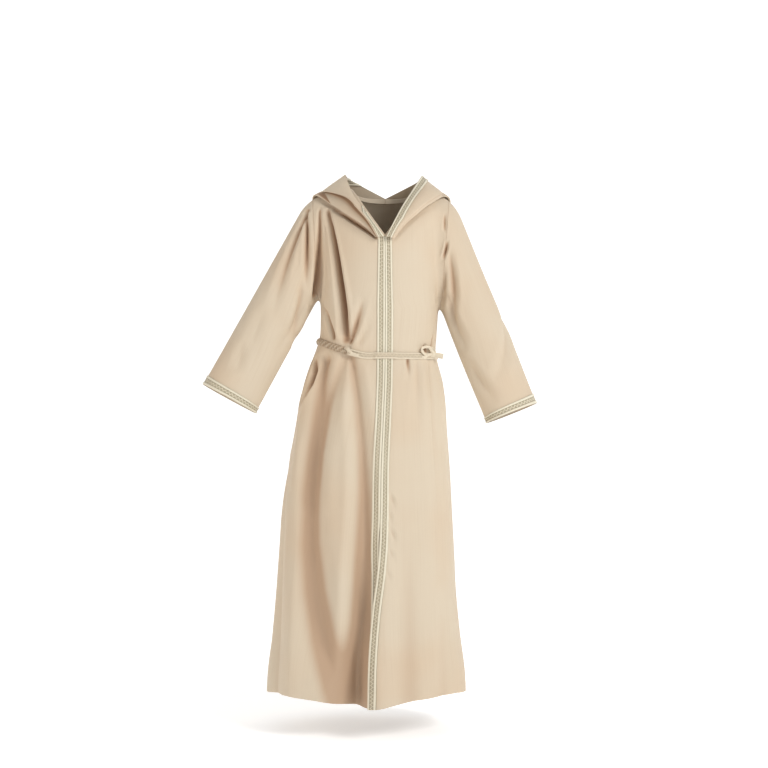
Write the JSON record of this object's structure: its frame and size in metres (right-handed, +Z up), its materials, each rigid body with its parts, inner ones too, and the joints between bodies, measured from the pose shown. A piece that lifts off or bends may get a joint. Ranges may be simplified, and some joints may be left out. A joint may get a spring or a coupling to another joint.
{
  "type": "hooded djellaba robe",
  "caption": "Long hooded robe for a child with wide sleeves, braided front edges, cuffs and hood rim, and a narrow tied belt, in its worn shape.",
  "frame": {"origin": "middle of the shoulder line, where the wearer's shoulders carry the robe", "axes": "+Z up along the wearer, -Y out of the front, +X towards the wearer's left"},
  "size_m": [0.629, 0.3183, 0.9955],
  "materials": {
    "cloth": "plain smooth woven cloth with a faint sheen, warm beige",
    "trim": "flat woven braid with raised pale gold cord edges"
  },
  "bodies": {
    "root": {"back": "cloth", "front_right": "cloth", "front_left": "cloth", "sleeve_right": "cloth", "sleeve_left": "cloth", "hood_right": "cloth", "hood_left": "cloth", "front_braid_right": "trim", "front_braid_left": "trim", "hood_braid_right": "trim", "hood_braid_left": "trim", "cuff_braid_right": "trim", "cuff_braid_left": "trim", "belt": "trim", "belt_gather": "trim", "belt_knot": "trim", "belt_end_right": "trim", "belt_end_left": "trim"}
  },
  "joints": []
}
